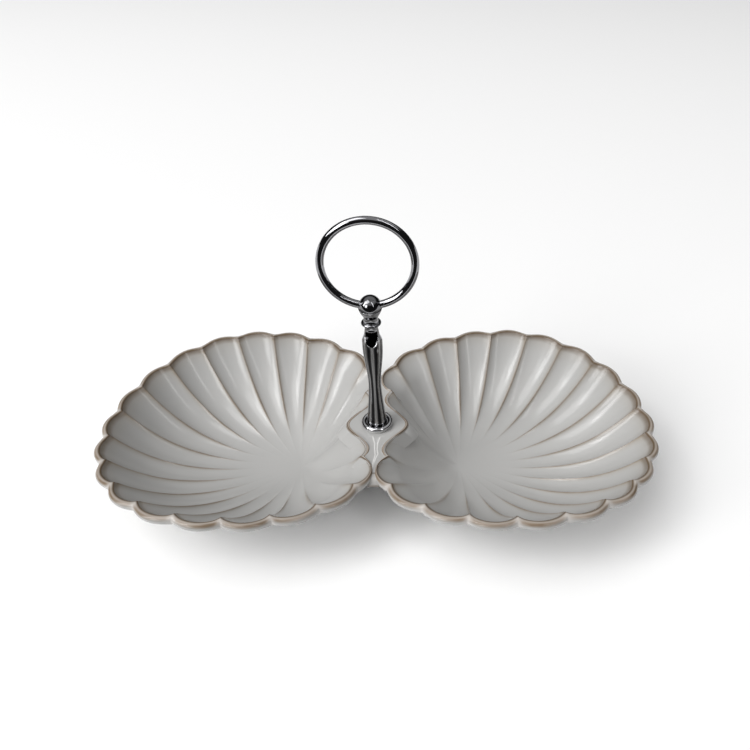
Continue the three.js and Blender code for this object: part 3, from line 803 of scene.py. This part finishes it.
def post_ring(height, groove, off):
    """Radii and painted shade at one height, for places with a share of groove and an angle off a petal."""
    base = post_radius(height)
    late = post_radius(max(height - 1.2, NECK_START)) if height > NECK_START else base
    foot = smooth(POST_BASE, POST_BASE + FLUTES_DEEPEN_OVER, height)
    neck = smooth(BELLY_HEIGHT, POST_TOP - 3, height)
    border = np.interp(height, PETAL_HEIGHTS, PETAL_BORDERS)
    on = smooth(PETAL_HEIGHTS[0], PETAL_HEIGHTS[1], height)
    inside = smooth(0.03, -0.05, off - border) * on
    arm = bell(off - border - ARM_OFFSET, ARM_WIDTH) * on * smooth(POST_TOP, POST_TOP - 1, height)
    fluted = groove * (1 - inside) * (1 - arm)
    depth = (FOOT_FLUTE_DEPTH + FLUTES_DEEPEN_BY * foot) * (1 - NECK_FLUTE_LOSS * neck) * fluted
    depth = depth - ARM_RISE * arm
    plain = BELLY_RADIUS - (BELLY_RADIUS - NECK_RADIUS) * (height - NECK_START) / (POST_TOP - NECK_START)
    chord = math.cos(border) / np.cos(np.minimum(off, border))
    face = min(plain, base) * (1 - PETAL_FLATNESS + PETAL_FLATNESS * chord)
    outer = base + (late - base) * smooth(POST_TOP - 2, NECK_START + 2, height)
    radius = (outer - depth) * (1 - inside) + face * inside
    # Painted shade: dark deep in the flutes, a little less up the neck, none on the forked arris, and
    # nearly black inside the petals, standing in for the dark the metal reflects there
    shade = smooth(0.2, 0.85, groove) * (1 - inside) * (1 - arm) * (1 - 0.3 * neck) + 1.4 * inside
    return radius, shade


def build_post(material):
    """Eight hollow flutes between arrises; at the front and back an arris forks round a flattened petal."""
    count = FLUTES * FLUTE_STEPS
    theta = np.arange(count) / count * 2 * math.pi - math.pi / 2
    flute = np.mod((theta + math.pi / 2) * FLUTES / (2 * math.pi), 1)
    groove = np.sin(math.pi * flute) ** 1.2
    off = np.abs(np.mod((theta + math.pi / 2) / math.pi + 0.5, 1) - 0.5) * math.pi

    def ring(radius, height):
        return np.column_stack([radius * np.cos(theta), radius * np.sin(theta), np.full(count, height)])

    heights = np.concatenate([np.linspace(POST_BASE, 84, 64)[:-1], np.linspace(84, POST_TOP, 120)])
    sections = [post_ring(float(height), groove, off) for height in heights]
    rings = [ring(radius, height) for (radius, _), height in zip(sections, heights)]
    shades = [shade for _, shade in sections]

    # The bore comes before the foot's face, and a soft edge and the top's face after the last ring
    bore = [ring(SCREW_BORE_RADIUS, height) for height in (SCREW_BORE_TOP, POST_BASE)]
    last = rings[-1]
    rings = [*bore, rings[0] * [0.6, 0.6, 1], *rings[:-1], last - [0, 0, 0.2], last * [0.93, 0.93, 1]]
    shades = [np.ones(count), np.ones(count), shades[0], *shades, shades[-1]]
    points = np.vstack([[[0, 0, SCREW_BORE_TOP]], *rings, [[0, 0, POST_TOP]]])
    end = len(points) - 1
    faces = fan_faces(0, 1, count) + ring_faces(len(rings), count, 1)
    faces += fan_faces(end, end - count, count, True)
    painted_shade = np.concatenate([[0], *shades, [0]])
    obj = mesh_object("post_fluted", points, faces, material, {"painted_shade": painted_shade})
    carried(obj, "handle_post", "server", 35)


def build_finial(material):
    """A spigot, a neck, a round bead, and a trumpet cup, hollow for the ball and bored for its shank."""
    seat = POST_TOP + 0.05
    neck = [[SPIGOT_RADIUS, SPIGOT_BASE], [SPIGOT_RADIUS, seat], [3.2, seat], [3.3, seat + 0.1]]
    neck += spline([
        [3.33, POST_TOP + 0.4], [3.2, POST_TOP + 1.4], [3.25, BEAD_BASE - 0.25], [3.5, BEAD_BASE + 0.1],
    ], 5).tolist()
    centre = (BEAD_BASE + BEAD_TOP) / 2
    turn = math.acos(BEAD_FACE_RADIUS / BEAD_RADIUS)
    tall = ((BEAD_TOP - BEAD_BASE) / 2 - 0.15) / math.sin(turn)
    bead = [[BEAD_RADIUS * math.cos(t), centre + tall * math.sin(t)] for t in np.linspace(-turn, turn, 33)]
    share = np.linspace(0.03, 1, 26)
    rise = BEAD_TOP + (CUP_TOP - BEAD_TOP - CUP_WALL) * share
    flare = CUP_NECK_RADIUS + (CUP_RADIUS - CUP_WALL - CUP_NECK_RADIUS) * smooth(0.15, 1, share)
    cup = np.column_stack([flare + 0.2 * np.exp(-share / 0.05), rise]).tolist()
    rim = arc([CUP_RADIUS - 0.1, CUP_TOP - 0.1], 0.1, 0, 170, 6)
    bore = SHANK_RADIUS + 0.1
    hollow_z = BALL_Z - 0.1
    hollow = [[r, hollow_z - math.sqrt(CUP_HOLLOW_RADIUS**2 - r * r)] for r in np.linspace(5.36, bore, 12)]
    bottom = SHANK_BASE - 0.09
    profile = [[0, SPIGOT_BASE], *neck, *bead, *cup, *rim, *hollow, [bore, bottom], [0, bottom]]

    def dark(points):
        """Painted shade on the bead alone, standing in for its dark reflections."""
        z = points[:, 2]
        return smooth(BEAD_BASE, BEAD_BASE + 0.2, z) * smooth(BEAD_TOP, BEAD_TOP - 0.2, z)

    turned_piece("finial_turned", "finial", "server", material, profile, 128, dark)


def build_ball(material):
    start = math.degrees(math.acos(SHANK_RADIUS / BALL_RADIUS))
    ball = arc([0, BALL_Z], BALL_RADIUS, -start, 90, 48)
    ball[-1][0] = 0
    profile = [[0, SHANK_BASE], [SHANK_RADIUS, SHANK_BASE], *ball]

    def dark(points):
        """Painted shade on the whole ball, standing in for its dark reflections."""
        return np.ones(len(points))

    turned_piece("ball_polished", "ring_ball", "server", material, profile, 96, dark)


def build_ring(material):
    around, across = 192, 40
    u = np.arange(around) / around * 2 * math.pi
    v = np.arange(across) / across * 2 * math.pi
    uu, vv = np.meshgrid(u, v, indexing="ij")
    reach = RING_RADIUS + WIRE_RADIUS * np.cos(vv)
    thick = WIRE_FLATNESS * WIRE_RADIUS * np.sin(vv)
    points = np.stack([reach * np.cos(uu), thick, RING_Z + reach * np.sin(uu)], -1).reshape(-1, 3)
    faces = []
    for i in range(around):
        a, b = i * across, ((i + 1) % around) * across
        for k in range(across):
            n = (k + 1) % across
            faces.append([a + k, a + n, b + n, b + k])
    obj = mesh_object("ring_wire", points, faces, material)
    carried(obj, "carry_ring", "server")


def washer_profile(base, thickness, outer, soft):
    """Closed section of a washer whose corners are soft."""
    inner, top = WASHER_HOLE_RADIUS, base + thickness
    return [
        [inner, base + soft], [inner + soft, base], *arc([outer - soft, base + soft], soft, -90, 0, 5),
        *arc([outer - soft, top - soft], soft, 0, 90, 5), [inner + soft, top], [inner, top - soft],
        [inner, base + soft],
    ]


def build_washers(clear, rubber, zinc):
    seat = washer_profile(*SEAT_WASHER)
    under = washer_profile(*UNDER_WASHER)
    flat = washer_profile(*STEEL_WASHER)
    turned_piece("washer_seat", "seat_washer", "server", clear, seat)
    turned_piece("washer_rubber", "under_washer", "clamp_washers", rubber, under)
    turned_piece("washer_steel", "steel_washer", "clamp_washers", zinc, flat)


def screw_head():
    """A pan head with a cross recess that narrows as it deepens."""
    points, faces = lathe([
        [0, HEAD_LOW], [2.6, HEAD_LOW + 0.02], *arc([3.3, HEAD_LOW + 1.3], 1.3, -88, 0, 12),
        [HEAD_RADIUS, SCREW_SEAT - 0.15], [HEAD_RADIUS - 0.15, SCREW_SEAT], [0, SCREW_SEAT],
    ], 64)
    corners = ((-1, -1), (1, -1), (1, 1), (-1, 1))
    levels = ((HEAD_LOW - 1, 1.25), (HEAD_LOW + RECESS_DEPTH, 0.75))
    box_faces = [[3, 2, 1, 0], [4, 5, 6, 7], [0, 1, 5, 4], [1, 2, 6, 5], [2, 3, 7, 6], [3, 0, 4, 7]]
    for x, y in (RECESS_HALF_SIZE, RECESS_HALF_SIZE[::-1]):
        box = np.array([[sx * x * size, sy * y * size, z] for z, size in levels for sx, sy in corners])
        points, faces = cut_away(points, faces, box, box_faces)
    return points, faces


def screw_shank():
    """A shank with a rolled thread and a tapered tip."""
    around = 40
    theta = np.arange(around) / around * 2 * math.pi
    rings = []
    for height in np.arange(SCREW_SEAT - 0.1, SCREW_TIP + 1e-6, 0.1):
        wave = np.abs(np.mod(height / SCREW_PITCH - theta / (2 * math.pi), 1) * 2 - 1)
        deep = np.clip(wave * 1.5 - 0.25, 0, 1)
        on = smooth(THREAD_START, THREAD_START + 1, height)
        tip = max(0.0, (height - SCREW_TIP + TIP_LENGTH) / TIP_LENGTH)
        radius = SCREW_RADIUS - THREAD_DEPTH * (1 - deep) * on - TIP_TAPER * tip
        x, y = radius * np.cos(theta), radius * np.sin(theta)
        rings.append(np.column_stack([x, y, np.full(around, height)]))
    points = np.vstack([[[0, 0, rings[0][0, 2]]], *rings, [[0, 0, rings[-1][0, 2]]]])
    end = len(points) - 1
    faces = fan_faces(0, 1, around) + ring_faces(len(rings), around, 1)
    return points, faces + fan_faces(end, end - around, around, True)


def build_screw(zinc):
    head, head_faces = screw_head()
    shank, shank_faces = screw_shank()
    faces = head_faces + [[v + len(head) for v in face] for face in shank_faces]
    obj = mesh_object("screw_pan_head", np.vstack([head, shank]), faces, zinc)
    carried(obj, "clamp_screw", "screw", 40)


# Materials

# Colours of the glaze where it is thick, where it breaks over edges, and where it is left off, and the
# white of the painted highlight along the saddle's ripples
BODY_DARK, BODY_LIGHT = (0.41, 0.408, 0.40), (0.455, 0.45, 0.44)
HALO_BROWN = (0.33, 0.285, 0.23)
LIP_DARK, LIP_LIGHT = (0.27, 0.228, 0.19), (0.46, 0.41, 0.365)
KNOT_PALE = (0.55, 0.525, 0.50)
RIDGE_BROWN = (0.185, 0.135, 0.09)
EDGE_BROWN = (0.125, 0.088, 0.055)
HIGHLIGHT_WHITE = (0.74, 0.735, 0.72)
BARE_CLAY = (0.55, 0.44, 0.32)


def colour_sockets(sockets):
    return [socket for socket in sockets if socket.type == "RGBA"]


class Nodes:
    """Short ways to add nodes to one tree."""

    def __init__(self, tree):
        self.tree = tree
        self.link = tree.links.new
        self.places = self.add("ShaderNodeTexCoord").outputs

    def add(self, kind):
        return self.tree.nodes.new(kind)

    def attribute(self, name):
        made = self.add("ShaderNodeAttribute")
        made.attribute_name = name
        return made.outputs["Fac"]

    def maths(self, operation, *values, clamp=False):
        made = self.add("ShaderNodeMath")
        made.operation = operation
        made.use_clamp = clamp
        for socket, value in zip(made.inputs, values):
            if isinstance(value, (int, float)):
                socket.default_value = value
            else:
                self.link(value, socket)
        return made.outputs[0]

    def noise(self, scale, detail=2, rough=0.5):
        made = self.add("ShaderNodeTexNoise")
        made.inputs["Scale"].default_value = scale
        made.inputs["Detail"].default_value = detail
        made.inputs["Roughness"].default_value = rough
        self.link(self.places["Object"], made.inputs["Vector"])
        return made.outputs["Fac"]

    def blend(self, factor, *colours):
        """A mix of two colours, each a tuple or another node's output."""
        made = self.add("ShaderNodeMix")
        made.data_type = "RGBA"
        self.link(factor, made.inputs["Factor"])
        for socket, value in zip(colour_sockets(made.inputs), colours):
            if isinstance(value, tuple):
                socket.default_value = (*value, 1)
            else:
                self.link(value, socket)
        return colour_sockets(made.outputs)[0]

    def bump(self, height, strength, distance):
        made = self.add("ShaderNodeBump")
        made.inputs["Strength"].default_value = strength
        made.inputs["Distance"].default_value = distance
        self.link(height, made.inputs["Height"])
        return made.outputs["Normal"]


def new_material(name):
    material = bpy.data.materials.new(name)
    material.use_nodes = True
    return material, material.node_tree.nodes["Principled BSDF"].inputs


def glaze_material():
    """Warm grey-white glaze; the mesh's attributes say where it breaks brown, where it is left off, and
    where the painted highlight along the saddle's ripples lies.
    """
    material, shader = new_material("glaze")
    nodes = Nodes(material.node_tree)
    broad = nodes.noise(22, 3, 0.5)
    fine = nodes.noise(260, 4, 0.6)
    body = nodes.blend(broad, BODY_DARK, BODY_LIGHT)
    grain = nodes.maths("ADD", nodes.maths("MULTIPLY", fine, 0.5), 0.35)
    patch = nodes.maths("ADD", nodes.maths("MULTIPLY", broad, 0.5), grain, clamp=True)
    faint = nodes.maths("MULTIPLY", patch, 0.55)
    halo = nodes.maths("MULTIPLY", nodes.attribute("halo"), faint, clamp=True)
    ridge = nodes.maths("MULTIPLY", nodes.attribute("ridge"), patch, clamp=True)
    edge = nodes.maths("MULTIPLY", nodes.attribute("edge"), nodes.maths("ADD", patch, 0.2), clamp=True)
    cloud = nodes.maths("MULTIPLY", nodes.noise(60, 3, 0.6), 1.3, clamp=True)
    lip = nodes.blend(cloud, LIP_DARK, LIP_LIGHT)
    knot = nodes.maths("MULTIPLY", nodes.attribute("knot"), 0.7)
    bare = nodes.attribute("bare")
    colour = nodes.blend(halo, body, HALO_BROWN)
    colour = nodes.blend(nodes.attribute("roll"), colour, lip)
    colour = nodes.blend(knot, colour, KNOT_PALE)
    colour = nodes.blend(ridge, colour, RIDGE_BROWN)
    colour = nodes.blend(edge, colour, EDGE_BROWN)
    # Painted highlight: white along the saddle's ripples, from the run attribute
    colour = nodes.blend(nodes.attribute("run"), colour, HIGHLIGHT_WHITE)
    colour = nodes.blend(bare, colour, BARE_CLAY)
    nodes.link(colour, shader["Base Color"])
    rough = nodes.maths("ADD", nodes.maths("MULTIPLY", bare, 0.5), 0.18)
    nodes.link(rough, shader["Roughness"])
    shader["IOR"].default_value = 1.5
    shader["Specular IOR Level"].default_value = 0.42
    nodes.link(nodes.bump(nodes.noise(70, 2, 0.4), 0.12, 0.0006), shader["Normal"])
    return material


def metal_material(name, colour, rough, wear, painted_shade=None):
    """Metal whose roughness and colour vary a little; the painted-shade colour, darker metal standing in
    for shade and dark reflections, goes where the mesh's attribute says.
    """
    material, shader = new_material(name)
    nodes = Nodes(material.node_tree)
    noise = nodes.noise(180, 4)
    ramp = nodes.add("ShaderNodeMapRange")
    ramp.inputs["To Min"].default_value = rough
    ramp.inputs["To Max"].default_value = rough + wear
    nodes.link(noise, ramp.inputs["Value"])
    nodes.link(ramp.outputs["Result"], shader["Roughness"])
    result = nodes.blend(noise, tuple(part * 0.94 for part in colour), colour)
    if painted_shade:
        result = nodes.blend(nodes.attribute("painted_shade"), result, painted_shade)
    nodes.link(result, shader["Base Color"])
    shader["Metallic"].default_value = 1
    return material


def plastic_material(name, colour, rough):
    """Soft plastic or rubber with a fine grain."""
    material, shader = new_material(name)
    nodes = Nodes(material.node_tree)
    nodes.link(nodes.bump(nodes.noise(900), 0.3, 0.0001), shader["Normal"])
    shader["Base Color"].default_value = (*colour, 1)
    shader["Roughness"].default_value = rough
    return material


# Floor, lights and camera

FLOOR_SIZE = (8, 7.2)
FLOOR_MIDDLE_Y = 3.43
WALL_LIGHT = 0.02
SKY_LIGHT = 0.56
LIGHT_TARGET = (0, 0, 0.05)
# Name, place and size in metres, and power in watts
LIGHTS = (
    ("key_left", (-4.1, -1.7, 3.0), (1.5, 3.8), 118),
    ("front_left", (-3.0, -3.6, 2.0), (1.8, 2.2), 74),
    ("high_left", (-2.2, -1.2, 4.6), (3.4, 3.4), 112),
    ("strip_right", (2.0, -2.4, 3.0), (0.25, 3.6), 20),
)

# The camera, fitted to the photograph: its place in millimetres, its axes, and its lens in pixels
CAMERA = (23.742, -265.837, 278.812)
RIGHT = (0.99992715, 0.00433113, -0.01126629)
UP = (0.00609494, 0.62447777, 0.7810188)
BACK = (0.01041824, -0.78103057, 0.62440588)
FOCAL = 671.033
CENTRE = (414.523, 381.304)
IMAGE = 750
SENSOR = 36


def add_floor():
    """White paper that ends a little in front of the dish."""
    bpy.ops.mesh.primitive_plane_add(size=1, location=(0, 0, 0))
    floor = bpy.context.object
    floor.name = "floor"
    floor.scale = (*FLOOR_SIZE, 1)
    floor.location = (0, FLOOR_MIDDLE_Y, 0)
    material, shader = new_material("floor_paper")
    shader["Base Color"].default_value = (0.97, 0.97, 0.97, 1)
    shader["Roughness"].default_value = 0.9
    shader["Specular IOR Level"].default_value = 0.1
    floor.data.materials.append(material)


def add_world():
    """White cloth overhead, dark walls at the horizon, white where the camera looks past the floor."""
    world = bpy.data.worlds.new("studio")
    bpy.context.scene.world = world
    world.use_nodes = True
    nodes = Nodes(world.node_tree)
    background = world.node_tree.nodes["Background"].inputs
    split = nodes.add("ShaderNodeSeparateXYZ")
    nodes.link(nodes.places["Generated"], split.inputs[0])
    ramp = nodes.add("ShaderNodeValToRGB")
    nodes.link(split.outputs["Z"], ramp.inputs["Fac"])
    stops = ramp.color_ramp.elements
    stops[0].position, stops[0].color = 0.0, (WALL_LIGHT, WALL_LIGHT, WALL_LIGHT, 1)
    stops[1].position, stops[1].color = 1.0, (SKY_LIGHT, SKY_LIGHT, SKY_LIGHT, 1)
    for position, value in ((0.5, WALL_LIGHT), (0.72, SKY_LIGHT)):
        stops.new(position).color = (value, value, value, 1)
    seen = nodes.add("ShaderNodeLightPath").outputs["Is Camera Ray"]
    nodes.link(nodes.blend(seen, ramp.outputs["Color"], (1, 1, 1)), background["Color"])
    background["Strength"].default_value = 1


def add_light(name, location, size, power):
    data = bpy.data.lights.new(name, "AREA")
    data.shape = "RECTANGLE"
    data.size, data.size_y = size
    data.energy = power
    light = bpy.data.objects.new(name, data)
    bpy.context.scene.collection.objects.link(light)
    light.location = location
    aim = Vector(LIGHT_TARGET) - Vector(location)
    light.rotation_euler = aim.to_track_quat("-Z", "Y").to_euler()


def add_camera():
    data = bpy.data.cameras.new("camera")
    data.sensor_width = SENSOR
    data.lens = FOCAL / IMAGE * SENSOR
    data.shift_x = -(CENTRE[0] - IMAGE / 2) / IMAGE
    data.shift_y = (CENTRE[1] - IMAGE / 2) / IMAGE
    data.clip_start = 0.01
    data.clip_end = 50
    camera = bpy.data.objects.new("camera", data)
    bpy.context.scene.collection.objects.link(camera)
    turn = Matrix((RIGHT, UP, BACK)).transposed()
    camera.matrix_world = Matrix.Translation([c * MM for c in CAMERA]) @ turn.to_4x4()
    bpy.context.scene.camera = camera


# The scene

# The ball and the bead take the darker painted-shade colour, standing in for their dark reflections
polished = metal_material("dark_nickel_polished", (0.32, 0.32, 0.335), 0.05, 0.04, (0.2, 0.2, 0.21))
# The post's nickel is a lighter copy, with nearly black painted shade in its flutes, its bore and inside
# its petals
satin = metal_material("dark_nickel_satin", (0.48, 0.48, 0.49), 0.07, 0.05, (0.03, 0.03, 0.032))
# A lighter copy of the handle's nickel for the collar, painted brighter to give its brighter reflections
brightened_nickel = metal_material("nickel_painted_brighter", (0.5, 0.5, 0.515), 0.05, 0.03)
zinc = metal_material("zinc_plated_steel", (0.62, 0.63, 0.64), 0.28, 0.12)
rubber = plastic_material("black_rubber", (0.02, 0.02, 0.021), 0.75)
clear = plastic_material("soft_plastic", (0.72, 0.72, 0.7), 0.45)

build_dish(glaze_material())
build_collar(brightened_nickel)
build_post(satin)
build_finial(polished)
build_ball(polished)
build_ring(polished)
build_washers(clear, rubber, zinc)
build_screw(zinc)

add_floor()
add_world()
for light in LIGHTS:
    add_light(*light)
add_camera()
bpy.context.scene.view_settings.view_transform = "Standard"
